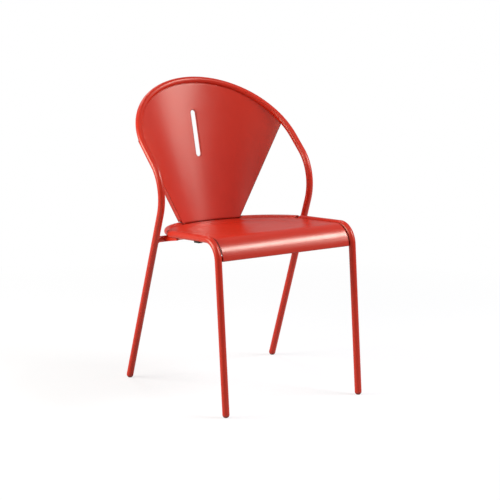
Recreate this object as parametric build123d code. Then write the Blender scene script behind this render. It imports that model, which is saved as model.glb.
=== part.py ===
from build123d import *
import os
from math import asin, atan, atan2, cos, degrees, radians, sin, sqrt, tan

# Stacking garden chair in millimetres: X to the right of the viewer, the sitter faces -Y, Z is up,
# and the floor is Z = 0 under the middle of the chair. Distances named "back" are measured along Y
# from the front corner of the side tubes.

# Tubes
tube_diameter = 18.0
tube_wall = 1.5
cross_tube_diameter = 16.0
coping_gap = 0.3

# Back hoop: two raked rear legs, two knees and one reclined half circle
leg_gap = 7.6
rear_foot_back = 420.0
rear_leg_rake = 20.92
knee_height = 543.4
knee_radius = 112.0
loop_recline = 50.0
loop_rise = 135.2

# Side tubes: front leg and seat rail, square to each other and pitched back together
rail_spacing = 398.0
seat_pitch = 5.15
corner_height = 439.2
front_bend_radius = 50.0
cross_tube_drop = 15.4
rail_end_gap = 35.8

# Foot glides and rail caps
glide_flat = 1.0
plug_length = 20.0
plug_gap = 0.3

# Seat pan
sheet = 2.0
pan_drop = 6.0
pan_side_gap = 3.0
apron_lip = 2.8
apron_flange = 8.0
apron_flange_gap = 3.0
rim_centre = 199.0
rim_gap = 2.2
rim_lip_angle = -40.0
rim_groove_radius = 3.0
dish_radius = 152.0
dish_floor_radius = 122.0
dish_depth = 3.5
rim_land = 20.0

# Back panel
panel_foot_gap = 1.0
panel_foot_half_width = 86.1
panel_foot_sag = 21.2
panel_shoulder_rise = 24.7
panel_shoulder_setback = 133.7
panel_shoulder_half_width = 215.6
panel_shoulder_sag = 87.8
panel_flange = 13.5
panel_flange_drop = 15.0
panel_tuck = 12.0
panel_rim_gap = 1.2
shoulder_angle = 10.0
shoulder_round = 26.0
slot_width = 16.0
slot_length = 127.0
slot_drop = 17.0
slot_collar = 7.0

# Stacking pads
pad_length = 24.0
pad_width = 12.0
pad_depth = 3.2
pad_start = 82.5
pad_round = 1.5
pad_stem_diameter = 6.0
pad_stem_length = 9.0

# Weld plates and tabs
plate_thickness = 5.0
plate_overlap = 33.6
plate_foot = 6.0
tab_thickness = 3.0
tab_inset = 24.0
front_tab_height = 14.0
side_tab_length = 40.0
side_tab_start = 120.0

# Sizes that follow from the ones above
tube_radius = tube_diameter / 2
bore_radius = tube_radius - tube_wall
cross_radius = cross_tube_diameter / 2
rail_half = rail_spacing / 2
hoop_half = rail_half + tube_diameter + leg_gap
hoop_spacing = 2 * hoop_half
glide_height = tube_radius - glide_flat
pan_top = tube_radius - pan_drop
pan_half = rail_half - tube_radius - pan_side_gap
apron_drop = front_bend_radius + apron_lip
pitch = radians(seat_pitch)
rake = radians(rear_leg_rake)
recline = radians(loop_recline)
leg_length = (corner_height - glide_height) / cos(pitch)
knee_back = rear_foot_back - knee_height * tan(rake)
loop_back = knee_back + loop_rise * sin(recline)
loop_height = knee_height + loop_rise * cos(recline)

# The cross tube lies on the rear legs, a fixed drop under the rails, and the rails end ahead of it
leg_in_seat = corner_height * cos(pitch) - rear_foot_back * sin(pitch)
cross_tube_height = (leg_in_seat - cross_tube_drop) / (cos(pitch) - tan(rake) * sin(pitch))
cross_tube_back = rear_foot_back - cross_tube_height * tan(rake)
cross_tube_along = cross_tube_back * cos(pitch) + (corner_height - cross_tube_height) * sin(pitch)
rail_length = cross_tube_along - rail_end_gap

# The rolled rim lies in line with the rails and starts behind their caps
rim_radius = rail_half
rim_start = rail_length + tube_radius + rim_gap
rim_start_angle = degrees(asin((rim_start - rim_centre) / rim_radius))

# The chair is centred between its front feet and the top of its loop
front_reach = leg_length * sin(pitch) + tube_radius
back_reach = loop_back + hoop_half * sin(recline) + tube_radius
corner_y = (front_reach - back_reach) / 2
rear_foot_y = corner_y + rear_foot_back
knee_y = corner_y + knee_back
loop_y = corner_y + loop_back

# The back panel stands on the pan inside the rim, and its shoulders are set back from the loop's start
panel_foot_along = rim_centre + rim_radius - tube_radius - panel_foot_gap
panel_foot_y = corner_y + panel_foot_along * cos(pitch) + pan_top * sin(pitch)
panel_foot_height = corner_height - panel_foot_along * sin(pitch) + pan_top * cos(pitch)
panel_shoulder_y = loop_y + panel_shoulder_setback
panel_shoulder_height = loop_height + panel_shoulder_rise
slot_height = panel_shoulder_height - slot_drop

# Frame of the seat: Y runs back along the rails, Z stands square on them
seat_frame = Plane(
    origin=(0, corner_y, corner_height),
    x_dir=(1, 0, 0),
    z_dir=(0, sin(pitch), cos(pitch)),
)

# Frame of the loop: Y runs up its slope, Z points forward out of the loop
loop_frame = Plane(
    origin=(0, loop_y, loop_height),
    x_dir=(1, 0, 0),
    z_dir=(0, -cos(recline), sin(recline)),
)


def rear_leg_y(height):
    """Y of the rear leg's axis at a height."""
    return rear_foot_y - height * tan(rake)


def pipe(path, outer, inner=0):
    """Round bar or tube along a path."""
    section = Circle(outer)
    if inner:
        section -= Circle(inner)
    return sweep(Plane(origin=path @ 0, z_dir=path % 0) * section, path=path)


def hoop_path():
    """Axis of the back hoop from one rear foot over the loop to the other."""
    def half(side):
        foot = (side * hoop_half, rear_leg_y(glide_height), glide_height)
        knee = (side * hoop_half, knee_y, knee_height)
        start = (side * hoop_half, loop_y, loop_height)
        return foot, knee, start

    left_foot, left_knee, left_start = half(-1)
    right_foot, right_knee, right_start = half(1)
    top = loop_frame.from_local_coords(Vector(0, hoop_half, 0))
    up = FilletPolyline(left_foot, left_knee, left_start, radius=knee_radius)
    over = ThreePointArc(left_start, top, right_start)
    down = FilletPolyline(right_start, right_knee, right_foot, radius=knee_radius)
    return Wire(up.edges() + over.edges() + down.edges())


def side_path(side):
    """Axis of a side tube, from its front foot to the rear end of its rail."""
    x = side * rail_half
    points = [(x, 0, -leg_length), (x, 0, 0), (x, rail_length, 0)]
    return seat_frame * FilletPolyline(*points, radius=front_bend_radius)


def back_hoop():
    """Rear legs and back loop in one bent tube."""
    return pipe(hoop_path(), tube_radius, bore_radius)


def side_tube(side):
    """Front leg and seat rail in one bent tube, with the hole for its stacking pad."""
    tube = pipe(side_path(side), tube_radius, bore_radius)
    hole = Cylinder(pad_stem_diameter / 2 + plug_gap, tube_diameter)
    hole = Pos(side * rail_half, pad_start + pad_length / 2, -tube_radius) * hole
    return tube - seat_frame * hole


def cross_tube():
    """Straight tube between the rear legs, coped to them."""
    start = Vector(-hoop_half, rear_leg_y(cross_tube_height), cross_tube_height)
    end = Vector(hoop_half, rear_leg_y(cross_tube_height), cross_tube_height)
    tube = pipe(Line(start, end), cross_radius, cross_radius - tube_wall)
    ends = tube - pipe(hoop_path(), tube_radius + coping_gap)
    return ends.solids().sort_by(SortBy.VOLUME)[-1]


def end_plug(end, outward):
    """Domed plug in a tube end: a half ball as wide as the tube, and a stem in the bore."""
    seat = Plane(origin=end, z_dir=outward)
    outer_half = Pos(0, 0, tube_radius) * Box(tube_diameter, tube_diameter, tube_diameter)
    dome = Sphere(tube_radius) & outer_half
    stem = Pos(0, 0, -plug_length / 2) * Cylinder(bore_radius - plug_gap, plug_length)
    return seat * (dome + stem)


def foot_glide(path, at_start):
    """Plug for a leg end, cut flat where it stands on the floor."""
    end = path @ 0 if at_start else path @ 1
    outward = -(path % 0) if at_start else path % 1
    floor_size = 2 * (plug_length + tube_diameter)
    ground = Pos(end.X, end.Y, -tube_radius) * Box(floor_size, floor_size, tube_diameter)
    return end_plug(end, outward) - ground


def rail_cap(side):
    """Domed cap in the rear end of a seat rail."""
    path = side_path(side)
    return end_plug(path @ 1, path % 1)


def groove_and_bead():
    """Middle line of the rim: flat land, a small groove and the rolled bead."""
    bead = tube_radius - sheet / 2
    level = pan_top - sheet / 2
    reach = bead + rim_groove_radius
    rise = level + rim_groove_radius
    groove_x = rim_radius - sqrt(reach**2 - rise**2)
    slope = atan2(rise, rim_radius - groove_x)
    meet = (rim_radius - bead * cos(slope), bead * sin(slope))
    dip = (radians(90) - slope) / 2
    low = (groove_x + rim_groove_radius * sin(dip), rise - rim_groove_radius * cos(dip))
    middle = (radians(180) - slope + radians(rim_lip_angle)) / 2
    crown = (rim_radius + bead * cos(middle), bead * sin(middle))
    lip = (rim_radius + bead * cos(radians(rim_lip_angle)), bead * sin(radians(rim_lip_angle)))
    land = Line((groove_x - rim_land, level), (groove_x, level))
    return land + ThreePointArc((groove_x, level), low, meet) + ThreePointArc(meet, crown, lip)


def dish_line():
    """Middle line of the dish from its centre to the flat land round it."""
    level = pan_top - sheet / 2
    floor = level - dish_depth
    half = ((dish_floor_radius + dish_radius) / 2, level - dish_depth / 2)
    turn = 2 * atan(dish_depth / (dish_radius - dish_floor_radius))
    down = TangentArc((dish_floor_radius, floor), half, tangent=(1, 0))
    up = TangentArc(half, (dish_radius, level), tangent=(cos(turn), sin(turn)))
    return Line((0, floor), (dish_floor_radius, floor)) + down + up


def apron_line():
    """Middle line of the front, from the flat land over the rounded edge to the apron's lower edge."""
    level = pan_top - sheet / 2
    bend = front_bend_radius + level
    front = front_bend_radius - bend
    top = (front_bend_radius, level)
    corner = (front_bend_radius - bend * sin(radians(45)), level - bend * (1 - cos(radians(45))))
    low = (front, -front_bend_radius)
    return ThreePointArc(top, corner, low) + Line(low, (front, -apron_drop))


def apron_side():
    """Side view of the flange folded down along a side of the pan, from above the front tab to the side tab."""
    outer = front_bend_radius + pan_top
    inner = outer - apron_flange
    bottom = front_tab_height - apron_drop + apron_flange_gap
    end = side_tab_start - apron_flange_gap
    corner = (front_bend_radius, -front_bend_radius)
    ring = Pos(*corner) * (Circle(outer) - Circle(inner))
    front = Pos(front_bend_radius - outer / 2, bottom + outer / 2) * Rectangle(outer, outer)
    straight = Pos((corner[0] + end) / 2, pan_top - apron_flange / 2) * Rectangle(end - corner[0], apron_flange)
    return Plane.YZ * ((ring & front) + straight)


def seat_pan():
    """Pressed seat: apron with side flanges, flat land, round dish and rolled rear rim."""
    turning = Axis((0, rim_centre, 0), (0, 0, 1))
    section = Plane(origin=(0, rim_centre, 0), x_dir=(1, 0, 0), z_dir=(0, -1, 0))
    bead_profile = (section * trace(groove_and_bead(), sheet)).rotate(turning, rim_start_angle)
    bead = revolve(bead_profile, turning, 180 - 2 * rim_start_angle)
    dish = revolve(section * trace(dish_line(), sheet), turning, 360)
    apron = extrude(Plane.YZ * trace(apron_line(), sheet), pan_half, both=True)
    for side in (-1, 1):
        apron += Pos(side * (pan_half - sheet / 2), 0, 0) * extrude(apron_side(), sheet / 2, both=True)

    land_radius = rim_radius - tube_radius - rim_land / 2
    middle = (front_bend_radius + rim_start) / 2
    sides = Pos(0, middle) * Rectangle(2 * pan_half, rim_start - front_bend_radius)
    round_back = Pos(0, rim_centre) * Circle(land_radius)
    behind = Pos(0, rim_start + land_radius / 2) * Rectangle(2 * land_radius, land_radius)
    outline = sides + (round_back & behind) - Pos(0, rim_centre) * Circle(dish_radius)
    land = Pos(0, 0, pan_top - sheet) * extrude(outline, sheet)
    return seat_frame * (land + apron + dish + bead)


def panel_arc(height):
    """Front, radius and half angle of the back panel's face at a height."""
    share = (height - panel_foot_height) / (panel_shoulder_height - panel_foot_height)
    half = panel_foot_half_width + share * (panel_shoulder_half_width - panel_foot_half_width)
    front = panel_foot_y + share * (panel_shoulder_y - panel_foot_y)
    sag = panel_foot_sag + share * (panel_shoulder_sag - panel_foot_sag)
    radius = (half**2 + sag**2) / (2 * sag)
    return front, radius, asin(half / radius)


def panel_layer(near, far, trim):
    """Conical layer between two depths behind the panel's face, with its sides trimmed."""
    def section(height):
        front, radius, half_angle = panel_arc(height)
        centre = front - radius
        angle = half_angle - trim / radius

        def point(depth, side):
            return (side * (radius + depth) * sin(angle), centre + (radius + depth) * cos(angle))

        face = ThreePointArc(point(near, -1), (0, front + near), point(near, 1))
        right = Line(point(near, 1), point(far, 1))
        back = ThreePointArc(point(far, 1), (0, front + far), point(far, -1))
        left = Line(point(far, -1), point(near, -1))
        return Pos(0, 0, height) * make_face(face.edges() + right.edges() + back.edges() + left.edges())

    lowest = panel_foot_height - 2 * tube_diameter
    highest = loop_height + hoop_half
    return loft([section(lowest), section(highest)], ruled=True)


def back_panel():
    """Conical back sheet, trimmed to the loop above and to the seat pan below, with its hand slot."""
    deep = hoop_spacing
    above = Pos(0, panel_shoulder_y, panel_shoulder_height - panel_flange_drop + deep / 2) * Box(2 * deep, deep, deep)
    behind = panel_layer(sheet, 2 * panel_flange, 0)
    panel = panel_layer(0, panel_flange, 0) - panel_layer(sheet, 2 * panel_flange, sheet) - (behind & above)
    tuck_radius = hoop_half - tube_radius + panel_tuck
    inside = Circle(tuck_radius) + Pos(0, -deep) * Rectangle(2 * tuck_radius, 2 * deep)
    panel = panel & (loop_frame * extrude(inside, deep, both=True))
    clear_radius = tube_radius + coping_gap
    ring = Circle(hoop_spacing) - Circle(hoop_half - clear_radius)
    upper = Pos(0, hoop_half) * Rectangle(2 * hoop_spacing, hoop_spacing)
    in_front = extrude(ring & upper, deep)
    panel = panel - loop_frame * (in_front + Torus(hoop_half, clear_radius))
    x = hoop_half * cos(radians(shoulder_angle))
    y = hoop_half * sin(radians(shoulder_angle))
    for side in (-1, 1):
        panel -= loop_frame * (Pos(side * x, y, 0) * Sphere(shoulder_round))

    below = Pos(0, rim_centre, pan_top - deep / 2) * Box(2 * deep, 2 * deep, deep)
    bead = Pos(0, rim_centre, 0) * Torus(rim_radius, tube_radius + panel_rim_gap)
    panel = panel - seat_frame * (below + bead)

    def slot(rim):
        face_on = Plane.XZ * SlotOverall(slot_length + 2 * rim, slot_width + 2 * rim, rotation=90)
        through = extrude(face_on, panel_flange * 2, both=True).rotate(Axis.X, -lean)
        return Pos(0, slot_y, slot_height) * through

    lean = degrees(atan2(panel_shoulder_y - panel_foot_y, panel_shoulder_height - panel_foot_height))
    slot_y = panel_foot_y + (slot_height - panel_foot_height) * tan(radians(lean))
    collar = slot(sheet) & panel_layer(0, slot_collar, 0)
    panel = panel + collar - slot(0)
    return panel.solids().sort_by(SortBy.VOLUME)[-1]


def stacking_pad(side):
    """Rubber pad under a seat rail: a block saddled on the tube, with a stem in the tube's hole."""
    x = side * rail_half
    middle = pad_start + pad_length / 2
    top = -tube_radius / 2
    bottom = -tube_radius - pad_depth
    block = Pos(x, middle, (top + bottom) / 2) * Box(pad_width, pad_length, top - bottom)
    block = fillet(block.edges().filter_by(Axis.Z), pad_round)
    block = fillet(block.faces().sort_by(Axis.Z)[0].edges(), pad_round)
    block -= Pos(x, middle, 0) * Rot(90, 0, 0) * Cylinder(tube_radius + coping_gap, 2 * pad_length)
    stem = Cylinder(pad_stem_diameter / 2, pad_stem_length)
    stem = Pos(x, middle, (pad_stem_length - pad_depth) / 2 - tube_radius) * stem
    return seat_frame * (block + stem)


def rail_plate(side):
    """Upright weld plate that ties the end of a seat rail to the cross tube."""
    start = rail_length - plate_overlap
    profile = Polyline(
        (start, -tube_radius / 2),
        (rail_length + tube_radius, -tube_radius / 2),
        (cross_tube_along, -cross_tube_drop),
        (cross_tube_along - cross_radius, -cross_tube_drop - plate_foot),
        (start, -tube_radius - plate_foot),
        close=True,
    )
    plate = extrude(Plane.YZ * make_face(profile), plate_thickness / 2, both=True)
    plate = seat_frame * (Pos(side * rail_half, 0, 0) * plate)
    path = side_path(side)
    plate -= pipe(path, tube_radius + coping_gap)
    plate -= Pos(*(path @ 1)) * Sphere(tube_radius + coping_gap)
    cross_room = Rot(0, 90, 0) * Cylinder(cross_radius + coping_gap, hoop_spacing)
    plate -= Pos(0, rear_leg_y(cross_tube_height), cross_tube_height) * cross_room
    return plate.solids().sort_by(SortBy.VOLUME)[-1]


def tab(side, start, low, length, height):
    """Flat weld tab that reaches from under the seat pan to a side tube, and is coped to it."""
    inner = pan_half - tab_inset
    width = rail_half - inner
    block = Box(width, length, height, align=(Align.MIN, Align.MIN, Align.MIN))
    block = Pos(inner, start, low) * block
    if side < 0:
        block = mirror(block, Plane.YZ)
    coped = seat_frame * block - pipe(side_path(side), tube_radius + coping_gap)
    return coped.solids().sort_by(SortBy.VOLUME)[-1]


def front_tab(side):
    """Tab behind the apron's lower corner, welded to the front leg."""
    inner_bend = front_bend_radius + pan_top - sheet
    above_bend = front_tab_height - apron_lip
    behind_apron = front_bend_radius - sqrt(inner_bend**2 - above_bend**2)
    return tab(side, behind_apron, -apron_drop, tab_thickness, front_tab_height)


def side_tab(side):
    """Tab under the seat's edge, welded to the seat rail."""
    return tab(side, side_tab_start, pan_top - sheet - tab_thickness, side_tab_length, tab_thickness)


parts = {
    "back_hoop_tube": back_hoop(),
    "rear_cross_tube": cross_tube(),
    "seat_pan": seat_pan(),
    "back_panel": back_panel(),
}
for name, side in (("left", -1), ("right", 1)):
    parts[f"side_tube_{name}"] = side_tube(side)
    parts[f"front_glide_{name}"] = foot_glide(side_path(side), True)
    parts[f"rear_glide_{name}"] = foot_glide(hoop_path(), side < 0)
    parts[f"rail_cap_{name}"] = rail_cap(side)
    parts[f"stacking_pad_{name}"] = stacking_pad(side)
    parts[f"rail_plate_{name}"] = rail_plate(side)
    parts[f"front_tab_{name}"] = front_tab(side)
    parts[f"side_tab_{name}"] = side_tab(side)

os.makedirs("parts", exist_ok=True)
for name, shape in parts.items():
    export_step(shape, f"parts/{name}.step")
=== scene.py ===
# %% [markdown]
# # A red garden chair
#
# The chair is a welded steel frame with two pressed sheets: a seat with a round dish and a conical back.
# Its shapes could be modelled again in Blender, but the imported frame already holds every solid at its true
# size, so this script loads the solids and dresses them. Nothing on the chair moves, and the pieces that this
# script adds ride on one body.

# %% Load the chair's solids
import bpy
from math import asin, atan2, copysign, cos, hypot, pi, radians, sin
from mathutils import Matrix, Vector


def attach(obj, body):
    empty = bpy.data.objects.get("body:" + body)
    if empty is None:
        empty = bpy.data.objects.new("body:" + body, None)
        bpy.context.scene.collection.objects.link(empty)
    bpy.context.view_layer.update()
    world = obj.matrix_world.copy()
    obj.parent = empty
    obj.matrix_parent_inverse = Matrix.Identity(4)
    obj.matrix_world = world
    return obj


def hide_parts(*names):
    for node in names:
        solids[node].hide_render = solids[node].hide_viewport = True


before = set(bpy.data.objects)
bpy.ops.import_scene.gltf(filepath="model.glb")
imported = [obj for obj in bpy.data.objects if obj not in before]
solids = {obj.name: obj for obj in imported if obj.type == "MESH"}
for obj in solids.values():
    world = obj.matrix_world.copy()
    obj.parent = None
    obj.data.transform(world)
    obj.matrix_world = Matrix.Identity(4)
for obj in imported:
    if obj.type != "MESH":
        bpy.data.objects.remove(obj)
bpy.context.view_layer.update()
print("solids loaded:", len(solids))

# %% [markdown]
# ## The camera
#
# A camera can be aimed by eye until the legs line up. Here its place was worked out from the chair's own
# mirror symmetry instead: a long lens stands to the left of the chair's front and looks a little down.

# %% Camera
degrees_down, degrees_right = 11.65, 31.63
view = bpy.data.cameras.new("photo_view")
view.lens = 134.13
view.sensor_width = 36.0
view.clip_end = 50.0
camera = bpy.data.objects.new("photo_view", view)
camera.location = (-2.4719, -4.0671, 1.3371)
camera.rotation_euler = (radians(90 - degrees_down), 0, radians(-degrees_right))
bpy.context.collection.objects.link(camera)
bpy.context.scene.camera = camera
print("camera stands", round(camera.location.length, 2), "m from the chair")


# %% [markdown]
# ## Helpers for the finishes
#
# The chair has paint, plastic and rubber on it, and all of them are drawn with the same few nodes. These
# could be placed by hand in the shader editor, but four short helpers keep the recipes below readable: one
# wires two sockets, one makes soft noise, one moves a value to another range, and one mixes two colours.

# %% Small helpers for the finishes
def link(tree, source, target):
    tree.links.new(source, target)


def noise(tree, place, scale, detail=2.0):
    """Soft noise with about `scale` blobs to the metre."""
    node = tree.nodes.new("ShaderNodeTexNoise")
    node.inputs["Scale"].default_value = scale
    node.inputs["Detail"].default_value = detail
    link(tree, place, node.inputs["Vector"])
    return node.outputs["Fac"]


def between(tree, value, low, high, start=0.3, end=0.7):
    """Maps a value that runs from start to end onto the range from low to high."""
    node = tree.nodes.new("ShaderNodeMapRange")
    node.inputs["From Min"].default_value = start
    node.inputs["From Max"].default_value = end
    node.inputs["To Min"].default_value = low
    node.inputs["To Max"].default_value = high
    link(tree, value, node.inputs["Value"])
    return node.outputs["Result"]


def tint(tree, factor, first, second):
    """A colour that goes from first to second; each is a plain colour or the output of a node."""
    node = tree.nodes.new("ShaderNodeMix")
    node.data_type = "RGBA"
    link(tree, factor, node.inputs["Factor"])
    for colour, socket in ((first, node.inputs["A"]), (second, node.inputs["B"])):
        if isinstance(colour, tuple):
            socket.default_value = (*colour, 1)
        else:
            link(tree, colour, socket)
    return node.outputs["Result"]


print("helpers ready: link, noise, between, tint")

# %% [markdown]
# ## Edges and corners of a coat
#
# Powder draws back from sharp edges in the oven, so the coat is thin there and a darker ground shows through.
# On the sheets that dark edge is also painted shade, for the shade that falls on their folded edges. A tight
# corner gets painted shade too: its colour is darkened where little light gets in. Both could be painted by
# hand on an unwrapped mesh. Here two nodes find them instead, on any shape. The Bevel node rounds the
# surface's direction near an edge, so the edge is where that direction turns away from the real one. The
# Ambient
# Occlusion node tells how open a place is.

# %% Edges and corners
edge_cover = 0.7
edge_starts, edge_ends = 0.98, 0.8
corner_reach, corner_closed, corner_open = 0.014, 0.35, 0.85


def soft_direction(tree, edge_radius):
    """The surface's direction, as if its sharp edges were rounded over."""
    rounded = tree.nodes.new("ShaderNodeBevel")
    rounded.inputs["Radius"].default_value = edge_radius
    return rounded.outputs["Normal"]


def on_edge(tree, direction):
    """How much of the edge colour shows: nothing on a face, and most of it on a sharp edge."""
    turned = tree.nodes.new("ShaderNodeVectorMath")
    turned.operation = "DOT_PRODUCT"
    link(tree, direction, turned.inputs[0])
    link(tree, tree.nodes.new("ShaderNodeNewGeometry").outputs["Normal"], turned.inputs[1])
    return between(tree, turned.outputs["Value"], edge_cover, 0, edge_ends, edge_starts)


def in_open(tree):
    """One on an open face, and down to nothing in a tight corner; it sets how much painted shade a corner
    gets.
    """
    corner = tree.nodes.new("ShaderNodeAmbientOcclusion")
    corner.inputs["Distance"].default_value = corner_reach
    return between(tree, corner.outputs["AO"], 0, 1, corner_closed, corner_open)


print("a corner is shaded within", corner_reach, "m of another surface")

# %% [markdown]
# ## Powder coat
#
# The tubes and sheets carry one baked powder coat: an even satin red with a very fine orange peel. A flat
# colour would look like plastic, so the coat gets a slow drift of colour, a patchy gloss and a fine bump, all
# from noise in the chair's own coordinates, which needs no unwrapping and lines up from piece to piece. The
# pressed sheets come out a little glossier than the tubes, and their cut edges show dark, partly as thin coat
# and partly as painted shade.

# %% A coat made from noise
gloss_patches = 6
peel_height, peel_detail = 0.0002, 3.0
# The deep colour times corner_shade is the painted shade in the tightest corner.
corner_shade = 0.45
coat_ior = 1.6


def grained(tree, place, grain, relief, direction):
    """A fine bump on a surface, whose direction is given where its edges are rounded."""
    bump = tree.nodes.new("ShaderNodeBump")
    bump.inputs["Strength"].default_value = relief
    bump.inputs["Distance"].default_value = peel_height
    link(tree, noise(tree, place, grain, peel_detail), bump.inputs["Height"])
    if direction is not None:
        link(tree, direction, bump.inputs["Normal"])
    return bump.outputs["Normal"]


def finish(name, deep, bright, gloss, drift, grain, relief, specular, edge=None):
    """A coat that drifts between two colours and two roughnesses; edge is a colour with a radius."""
    material = bpy.data.materials.new(name)
    material.use_nodes = True
    tree = material.node_tree
    shader = tree.nodes["Principled BSDF"]
    place = tree.nodes.new("ShaderNodeTexCoord").outputs["Object"]
    coat = tint(tree, between(tree, noise(tree, place, drift), 0, 1), deep, bright)
    direction = None
    if edge:
        edge_colour, edge_radius = edge
        direction = soft_direction(tree, edge_radius)
        coat = tint(tree, on_edge(tree, direction), coat, edge_colour)
    # Painted shade: tight corners go towards a darker copy of the deep colour.
    shaded = tuple(corner_shade * part for part in deep)
    link(tree, tint(tree, in_open(tree), shaded, coat), shader.inputs["Base Color"])
    patches = noise(tree, place, drift * gloss_patches)
    link(tree, between(tree, patches, *gloss), shader.inputs["Roughness"])
    link(tree, grained(tree, place, grain, relief, direction), shader.inputs["Normal"])
    shader.inputs["IOR"].default_value = coat_ior
    shader.inputs["Specular IOR Level"].default_value = specular
    return material


print("a coat's colour and gloss drift, and its peel is", peel_height, "m high")

# %% Powder coat on tubes and sheets
deep_red, bright_red, dark_ground_and_shade = (0.61, 0.018, 0.003), (0.65, 0.022, 0.004), (0.22, 0.006, 0.002)
sheet_edge_radius = 0.0040
powder_coat = finish(
    "red_powder_coat", deep_red, bright_red,
    gloss=(0.32, 0.35), drift=9, grain=400, relief=0.02, specular=0.4,
)
# The sheets' dark edge is partly thin coat and partly painted shade on their folded edges.
sheet_coat = finish(
    "red_sheet_coat", deep_red, bright_red,
    gloss=(0.29, 0.34), drift=5, grain=400, relief=0.02, specular=0.65, edge=(dark_ground_and_shade, sheet_edge_radius),
)
print("finishes:", powder_coat.name, sheet_coat.name)

# %% [markdown]
# ## Plastic feet and rubber pads
#
# The glides are moulded in the chair's red and rub on the floor, so they are a little darker and rougher, and
# their soles are scuffed to a dull grey. The stacking pads are black rubber with a coarse, dry surface. Each
# could have a material built from nothing, but both are a coat with other numbers, so the same recipe serves.


# %% Plastic and rubber
def scuff(material, height, dirt, cover=0.9):
    """Dirties a piece from the floor up to a height."""
    tree = material.node_tree
    target = tree.nodes["Principled BSDF"].inputs["Base Color"]
    clean = target.links[0].from_socket
    split = tree.nodes.new("ShaderNodeSeparateXYZ")
    link(tree, tree.nodes.new("ShaderNodeTexCoord").outputs["Object"], split.inputs["Vector"])
    link(tree, tint(tree, between(tree, split.outputs["Z"], cover, 0, 0, height), clean, dirt), target)


dull_red, worn_red, floor_dirt = (0.58, 0.022, 0.006), (0.62, 0.026, 0.007), (0.04, 0.035, 0.033)
soot, ash = (0.012, 0.012, 0.013), (0.022, 0.022, 0.023)
moulded_edge_radius = 0.0004
scuff_height = 0.0015
glide_plastic = finish(
    "red_glide_plastic", dull_red, worn_red,
    gloss=(0.45, 0.6), drift=60, grain=1400, relief=0.05, specular=0.5, edge=(worn_red, moulded_edge_radius),
)
scuff(glide_plastic, scuff_height, floor_dirt)
pad_rubber = finish(
    "black_pad_rubber", soot, ash,
    gloss=(0.6, 0.8), drift=80, grain=1600, relief=0.2, specular=0.3, edge=(ash, moulded_edge_radius),
)
print("finishes:", glide_plastic.name, pad_rubber.name)

# %% [markdown]
# ## Every piece in its finish
#
# The frame and the sheets are sprayed after welding, and the feet and pads are pressed on in their own
# materials. The materials could be dropped on one piece after the other, but the solids' names already say
# what each piece is, so one loop reads the name and picks the finish.

# %% Each solid gets its finish
for name, solid in solids.items():
    if "pad" in name:
        coat = pad_rubber
    elif "glide" in name:
        coat = glide_plastic
    elif name in ("seat_pan", "back_panel"):
        coat = sheet_coat
    else:
        coat = powder_coat
    solid.data.materials.clear()
    solid.data.materials.append(coat)
print("coated:", len(solids))

# %% [markdown]
# ## The back panel behind the loop
#
# On the real chair the whole loop stands in front of the panel, and only a dark seam shows where they meet.
# The panel could be drawn again from its arcs, but its solid has the right outline, slot and flanges, so a
# copy of its mesh is pushed back along the loop's axis instead: most at the top of the middle, and not at all
# at its foot and its sides.

# %% The loop's own directions
loop_radius = 0.2246
recline = radians(50)
loop_middle = Vector((0, 0.09133, 0.63030))
up_slope = Vector((0, sin(recline), cos(recline)))
out_of_loop = Vector((0, -cos(recline), sin(recline)))
loop_top = loop_middle + up_slope * loop_radius
print("top of the loop:", [round(part, 4) for part in loop_top])

# %% How far the panel goes back
push_start, panel_top, panel_reach = 0.12, 0.2156, 0.21
most_set_back = 0.0054


def set_back(x, up):
    """How far the panel goes back, at a place beside the loop's middle and up its slope."""
    climb = max(0, up + push_start) / (push_start + panel_top)
    return most_set_back * climb**4 * max(0, 1 - (x / panel_reach) ** 4) ** 2


print("set back at the top:", set_back(0, panel_top), "m")

# %% [markdown]
# ## The panel's shoulders
#
# The panel is cut from a cone, and on the real chair its top corners run up to the tube. The solid has a
# small relief cut there. A new patch of mesh could fill each cut, but its border would show in the gloss, so
# the points near a corner slide towards it along the cone, and the sheet stays in one piece. The flange
# behind the face keeps its place.

# %% The panel's cone
panel_foot, panel_rise = 0.40736, 0.24765
foot_half_width, half_width_gain = 0.0861, 0.1295
foot_sag, sag_gain = 0.0212, 0.0666
foot_back, back_gain = 0.16218, 0.06284


def panel_arc(height):
    """Radius, middle and half angle of the panel's face at a height."""
    share = (height - panel_foot) / panel_rise
    half_width, sag = foot_half_width + half_width_gain * share, foot_sag + sag_gain * share
    radius = (half_width**2 + sag**2) / (2 * sag)
    return radius, foot_back + back_gain * share - radius, asin(half_width / radius)


print("face radius at the foot:", round(panel_arc(panel_foot)[0], 4), "m")

# %% Filled shoulders
corner_height, corner_pull_reach = 0.658, 0.06
flange_behind, flange_fade = 0.0060, 0.0040
nearest_pull, pull_ease = 0.18, 1.4


def fill_shoulder(point):
    """Slides a point along the cone towards the near shoulder's corner, which closes the relief cut there."""
    radius, middle, _ = panel_arc(point.z)
    corner_radius, _, corner_angle = panel_arc(corner_height)
    depth = hypot(point.x, point.y - middle) - radius
    aside = atan2(abs(point.x), point.y - middle) * radius - corner_angle * corner_radius
    rise = point.z - corner_height
    on_face = min(1, max(0, (flange_behind - depth) / flange_fade))
    nearness = min(1, hypot(aside, rise) / corner_pull_reach) ** pull_ease
    pull = 1 - on_face * (1 - max(nearest_pull, nearness))
    height = corner_height + rise * pull
    radius, middle, _ = panel_arc(height)
    turn = (corner_angle * corner_radius + aside * pull) / radius
    out = radius + depth
    return Vector((copysign(out * sin(turn), point.x), middle + out * cos(turn), height))


print("shoulders are filled within", corner_pull_reach, "m of their corners")

# %% Clear of the loop's tube
tube_clearance = 0.0093


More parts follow.
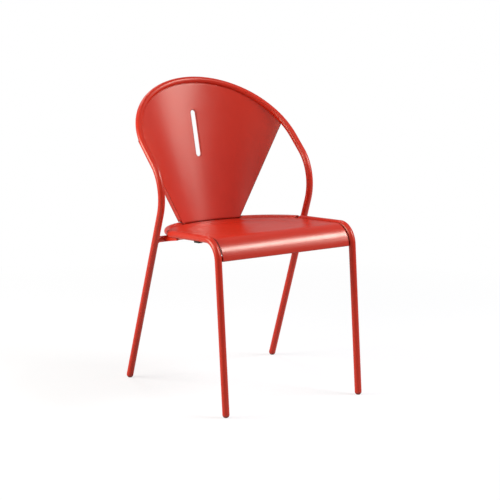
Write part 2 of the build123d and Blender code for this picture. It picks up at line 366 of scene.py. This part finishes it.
def clear_of_loop(point):
    """Moves a point out of the loop's tube, if it lies in there."""
    spot = point - loop_middle
    up, front = spot.dot(up_slope), spot.dot(out_of_loop)
    away = hypot(spot.x, up)
    inside = tube_clearance - hypot(away - loop_radius, front)
    if up < 0 or inside <= 0:
        return point
    outward = (Vector((spot.x, 0, 0)) + up_slope * up) / away
    from_tube = outward * (away - loop_radius) + out_of_loop * front
    return point + from_tube.normalized() * inside


print("the panel keeps", tube_clearance, "m from the middle of the loop's tube")

# %% Panel pushed back
sharp_edge = radians(25)
source = solids["back_panel"].data
moved = []
for vertex in source.vertices:
    place = fill_shoulder(vertex.co)
    up = (place - loop_middle).dot(up_slope)
    moved.append(clear_of_loop(place - out_of_loop * set_back(place.x, up)))
panel_mesh = bpy.data.meshes.new("back_panel_behind_loop")
panel_mesh.from_pydata(moved, [], [tuple(face.vertices) for face in source.polygons])
panel_mesh.shade_smooth()
panel_mesh.set_sharp_from_angle(angle=sharp_edge)
panel_mesh.materials.append(sheet_coat)
panel = bpy.data.objects.new("back_panel_behind_loop", panel_mesh)
bpy.context.collection.objects.link(panel)
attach(panel, "root")
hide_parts("back_panel")
print("panel vertices:", len(moved))

# %% [markdown]
# ## Weld beads
#
# The solids stop a hair short of each other where a welder would join them. Each bead is a round string laid
# along the joint, and its radius swells in small steps, the way a weld puddle freezes. A bump could fake
# this, but a real string also closes the joint to the light from behind. The beads are painted over with the
# tubes.

# %% Rings and faces of a bead
bead_sides = 8
ripple, ripple_pace = 0.15, 2.1
taper_points = 3


def bead_rings(points, radius, across, closed):
    """Rings of points along a line, with a ripple and, where the line is open, with tapered ends."""
    rings, count = [], len(points)
    for i, point in enumerate(points):
        before = points[i - 1] if closed or i else point
        after = points[(i + 1) % count] if closed or i + 1 < count else point
        out = (after - before).cross(across).normalized()
        up = out.cross(after - before).normalized()
        taper = 1 if closed else min(1, (i + 0.5) / taper_points, (count - i - 0.5) / taper_points)
        size = radius * taper * (1 + ripple * sin(ripple_pace * i))
        for k in range(bead_sides):
            turn = 2 * pi * k / bead_sides
            rings.append(point + size * (cos(turn) * out + sin(turn) * up))
    return rings


def bead_faces(count, closed):
    """Faces from each ring to the next, and a lid on both ends of an open line."""
    faces = []
    for i in range(count if closed else count - 1):
        here, there = i * bead_sides, (i + 1) % count * bead_sides
        for k in range(bead_sides):
            n = (k + 1) % bead_sides
            faces.append((here + k, here + n, there + n, there + k))
    if not closed:
        faces.append(tuple(reversed(range(bead_sides))))
        faces.append(tuple(range((count - 1) * bead_sides, count * bead_sides)))
    return faces


print("a bead has", bead_sides, "sides and swells by", ripple, "of its radius")


# %% A string of weld
def bead(name, points, radius, across, closed=False):
    """A rippled string along a line of points; `across` is a direction that the line never runs in."""
    mesh = bpy.data.meshes.new(name)
    mesh.from_pydata(bead_rings(points, radius, across, closed), [], bead_faces(len(points), closed))
    mesh.shade_smooth()
    mesh.materials.append(powder_coat)
    string = bpy.data.objects.new(name, mesh)
    bpy.context.collection.objects.link(string)
    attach(string, "root")
    print(name, "laid along", len(points), "points")


# %% [markdown]
# ## Weld along the back of the loop
#
# The panel is welded to the loop from behind, from one shoulder to the other. The line could be copied from
# the panel's top edge, but the mesh is uneven there, so the line is worked out: at each angle round the loop,
# the tube's skin is searched for the place that lies just behind the panel's face.

# %% Weld of the loop
loop_bead, tube_skin, behind_face = 0.0022, 0.0096, 0.0018
shoulder_degrees, weld_steps = 75, 180
tilts = [radians(step / 2 - 90) for step in range(361)]


def meeting_place(from_top):
    """Where the back of the panel's sheet meets the loop's tube, at an angle from the loop's top."""
    outward = Vector((sin(from_top), 0, 0)) + up_slope * cos(from_top)
    ring = loop_middle + outward * loop_radius
    spots = []
    for step, tilt in enumerate(tilts):
        spot = ring + (out_of_loop * sin(tilt) - outward * cos(tilt)) * tube_skin
        before = spot + out_of_loop * set_back(spot.x, (spot - loop_middle).dot(up_slope))
        radius, middle, _ = panel_arc(before.z)
        spots.append((abs(hypot(before.x, before.y - middle) - radius - behind_face), step, spot))
    return min(spots)[2]


angles = [2 * shoulder_degrees * step / weld_steps - shoulder_degrees for step in range(weld_steps + 1)]
seam = [meeting_place(radians(angle)) for angle in angles]
bead("loop_weld", seam, loop_bead, out_of_loop)
print("the loop's weld starts at", [round(part, 4) for part in seam[0]])

# %% [markdown]
# ## Welds round the cross tube and under the seat
#
# The cross tube butts against both rear legs and is welded all round. That joint is a saddle, because the leg
# is round, so each point of the ring is moved sideways until it meets the leg's skin. A flat circle would be
# easier and would dip into the leg. Under the seat the plates and tabs have short straight beads, placed by
# how far they lie back along the seat rails and up from them.

# %% Lines of the hidden welds
across = Vector((1, 0, 0))
rake, pitch = radians(20.92), radians(5.15)
along, upright = Vector((0, cos(pitch), -sin(pitch))), Vector((0, sin(pitch), cos(pitch)))
rail_corner = Vector((0, -0.22452, 0.4392))
cross_middle = Vector((0, 0.04271, 0.39965))
cross_skin, leg_skin = 0.0084, 0.0094
saddle_points, line_points = 36, 15


def saddle(side):
    """The line where an end of the cross tube meets the leg's round skin."""
    ring = []
    for step in range(saddle_points):
        turn = radians(360 / saddle_points * step)
        y, z = cross_skin * cos(turn), cross_skin * sin(turn)
        off_leg = y * cos(rake) + z * sin(rake)
        x = loop_radius - (leg_skin**2 - off_leg**2) ** 0.5
        ring.append(cross_middle + Vector((side * x, y, z)))
    return ring


def seat_line(x, start, end):
    """Points on a line between two places beside the rails, each given as (back, up)."""
    first = rail_corner + across * x + along * start[0] + upright * start[1]
    last = rail_corner + across * x + along * end[0] + upright * end[1]
    return [first.lerp(last, i / (line_points - 1)) for i in range(line_points)]


print("the rear legs stand", 2 * loop_radius, "m apart")

# %% Hidden welds
cross_bead, plate_bead, tab_bead = 0.0013, 0.0012, 0.001
plate_x, half_plate, plate_ends = 0.199, 0.0029, ((0.203, -0.0091), (0.232, -0.0091))
front_tab_x, front_tab_ends = 0.1904, ((0.0034, -0.0525), (0.0034, -0.0415))
side_tab_x, side_tab_ends = 0.1899, ((0.122, -0.0026), (0.158, -0.0026))
for side, word in ((-1, "left"), (1, "right")):
    bead(f"cross_weld_{word}", saddle(side), cross_bead, across, closed=True)
    for edge, place in ((-1, "inner"), (1, "outer")):
        line = seat_line(side * (plate_x + edge * half_plate), *plate_ends)
        bead(f"plate_weld_{place}_{word}", line, plate_bead, across)
    bead(f"front_tab_weld_{word}", seat_line(side * front_tab_x, *front_tab_ends), tab_bead, across)
    bead(f"side_tab_weld_{word}", seat_line(side * side_tab_x, *side_tab_ends), tab_bead, across)

# %% [markdown]
# ## White that doesn't bleach the paint
#
# The chair stands in a white studio. A white sweep could be lit until it burns out, but its light would also
# bleach the red. So the Light Path node tells who is looking: the camera and a ray through something clear
# see full white, a reflection sees a share of it, because the satin paint would turn pale under all of it,
# and a ray that only carries light sees none.

# %% Who sees the white
mirror_share = 0.3


def seen(tree):
    """One for the camera and through glass, a small share in reflections, and nothing for bounced light."""
    path = tree.nodes.new("ShaderNodeLightPath")
    share = tree.nodes.new("ShaderNodeMath")
    share.operation = "MULTIPLY"
    share.inputs[1].default_value = mirror_share
    link(tree, path.outputs["Is Glossy Ray"], share.inputs[0])
    direct = tree.nodes.new("ShaderNodeMath")
    direct.operation = "MAXIMUM"
    link(tree, path.outputs["Is Camera Ray"], direct.inputs[0])
    link(tree, path.outputs["Is Transmission Ray"], direct.inputs[1])
    both = tree.nodes.new("ShaderNodeMath")
    both.operation = "MAXIMUM"
    link(tree, direct.outputs["Value"], both.inputs[0])
    link(tree, share.outputs["Value"], both.inputs[1])
    return both.outputs["Value"]


print("share of the white in reflections:", mirror_share)

# %% [markdown]
# ## The floor
#
# The real floor is so bright that only faint shadows under the feet are left of it. A plain lit floor would
# come out grey at this light. So near the chair most of what the camera sees is a glow of the floor's own,
# and a thin layer of lit paint on top of it carries the shadows. Farther out it fades to pure white, so that
# no border with the background shows.

# %% The floor as the camera sees it
shadow_tint, floor_glow = (0.30, 0.32, 0.38, 1), 0.725
fade_starts, fade_ends = 0.5, 1.6


def shadowed_white(tree):
    """A glow with a thin lit layer, in which the shadows show."""
    faint = tree.nodes.new("ShaderNodeBsdfDiffuse")
    faint.inputs["Color"].default_value = shadow_tint
    glow = tree.nodes.new("ShaderNodeEmission")
    glow.inputs["Strength"].default_value = floor_glow
    near = tree.nodes.new("ShaderNodeAddShader")
    link(tree, faint.outputs["BSDF"], near.inputs[0])
    link(tree, glow.outputs["Emission"], near.inputs[1])
    return near.outputs["Shader"]


def far_off(tree):
    """Nothing near the chair, and one where the floor has turned pure white."""
    spread = tree.nodes.new("ShaderNodeVectorMath")
    spread.operation = "LENGTH"
    link(tree, tree.nodes.new("ShaderNodeTexCoord").outputs["Object"], spread.inputs[0])
    return between(tree, spread.outputs["Value"], 0, 1, fade_starts, fade_ends)


def mixed(tree, factor, first, second):
    """A shader that goes from first to second."""
    node = tree.nodes.new("ShaderNodeMixShader")
    link(tree, factor, node.inputs["Fac"])
    link(tree, first, node.inputs[1])
    link(tree, second, node.inputs[2])
    return node.outputs["Shader"]


print("the floor fades to white from", fade_starts, "to", fade_ends, "m")

# %% Floor
floor_grey, floor_roughness = (0.6, 0.6, 0.6, 1), 0.9
floor_reach, floor_gap = 12.0, 0.0005


def white_floor():
    """White with faint shadows for those who see it, and a plain matt grey for the light that bounces."""
    material = bpy.data.materials.new("white_floor")
    material.use_nodes = True
    tree = material.node_tree
    lit = tree.nodes["Principled BSDF"]
    lit.inputs["Base Color"].default_value = floor_grey
    lit.inputs["Roughness"].default_value = floor_roughness
    far = tree.nodes.new("ShaderNodeEmission")
    shown = mixed(tree, far_off(tree), shadowed_white(tree), far.outputs["Emission"])
    surface = mixed(tree, seen(tree), lit.outputs["BSDF"], shown)
    link(tree, surface, tree.nodes["Material Output"].inputs["Surface"])
    return material


floor_mesh = bpy.data.meshes.new("floor")
signs = ((-1, -1), (1, -1), (1, 1), (-1, 1))
floor_mesh.from_pydata([(x * floor_reach, y * floor_reach, 0) for x, y in signs], [], [(0, 1, 2, 3)])
floor = bpy.data.objects.new("floor", floor_mesh)
floor.location.z = -floor_gap
bpy.context.collection.objects.link(floor)
floor_mesh.materials.append(white_floor())
print("floor laid:", 2 * floor_reach, "m wide")

# %% [markdown]
# ## The background
#
# Behind the chair there is nothing but white. A wall would need its own light and would throw it back on the
# paint, so the world is the wall: white for those who see it, and very dim as a lamp.

# %% Background
room_light = 0.03


def white_room():
    """White wherever the camera looks, and dim for everything else, so that the paint keeps its depth."""
    world = bpy.data.worlds.new("white_room")
    world.use_nodes = True
    tree = world.node_tree
    strength = between(tree, seen(tree), room_light, 1, 0, 1)
    link(tree, strength, tree.nodes["Background"].inputs["Strength"])
    tree.nodes["Background"].inputs["Color"].default_value = (1, 1, 1, 1)
    bpy.context.scene.world = world


white_room()
bpy.context.scene.view_settings.view_transform = "Standard"
print("room light:", room_light)

# %% [markdown]
# ## Soft boxes
#
# The chair is lit like a product in a studio. One big lamp or a sky would be quicker, but the paint is satin,
# so its shape is read from the edges of what it mirrors. Two boxes on the right draw the sheen on the seat
# and the panel, a warm pair on the left lights the other side, and weak ones from above, behind and in front
# keep the legs round.

# %% Soft boxes
lamp_distance = 3.0
aim = Vector((0, 0, 0.45))


def soft_box(name, azimuth, elevation, size, power, colour):
    """A soft box that looks at the seat; azimuth 0 is in front of the chair, and 90 to the viewer's right."""
    turn, rise = radians(azimuth), radians(elevation)
    away = Vector((sin(turn) * cos(rise), -cos(turn) * cos(rise), sin(rise)))
    lamp = bpy.data.lights.new(name, "AREA")
    lamp.shape = "RECTANGLE"
    lamp.size, lamp.size_y = size
    lamp.energy = power
    lamp.color = colour
    box = bpy.data.objects.new(name, lamp)
    box.location = aim + away * lamp_distance
    box.rotation_euler = (-away).to_track_quat("-Z", "Y").to_euler()
    bpy.context.collection.objects.link(box)


daylight, lamplight = (1.0, 0.95, 0.85), (1.0, 0.91, 0.72)
soft_box("right_high", azimuth=49, elevation=42, size=(1.2, 0.8), power=57, colour=daylight)
soft_box("right_low", azimuth=52, elevation=22, size=(1.6, 0.6), power=12, colour=daylight)
soft_box("left_low", azimuth=-114, elevation=20, size=(1.8, 1.0), power=84, colour=lamplight)
soft_box("left_high", azimuth=-75, elevation=42, size=(1.0, 1.0), power=15, colour=lamplight)
soft_box("top", azimuth=0, elevation=80, size=(1.4, 1.4), power=7, colour=daylight)
soft_box("back_high", azimuth=178, elevation=48, size=(1.0, 1.0), power=10, colour=daylight)
soft_box("front_low", azimuth=-35, elevation=18, size=(0.7, 0.9), power=2.0, colour=daylight)
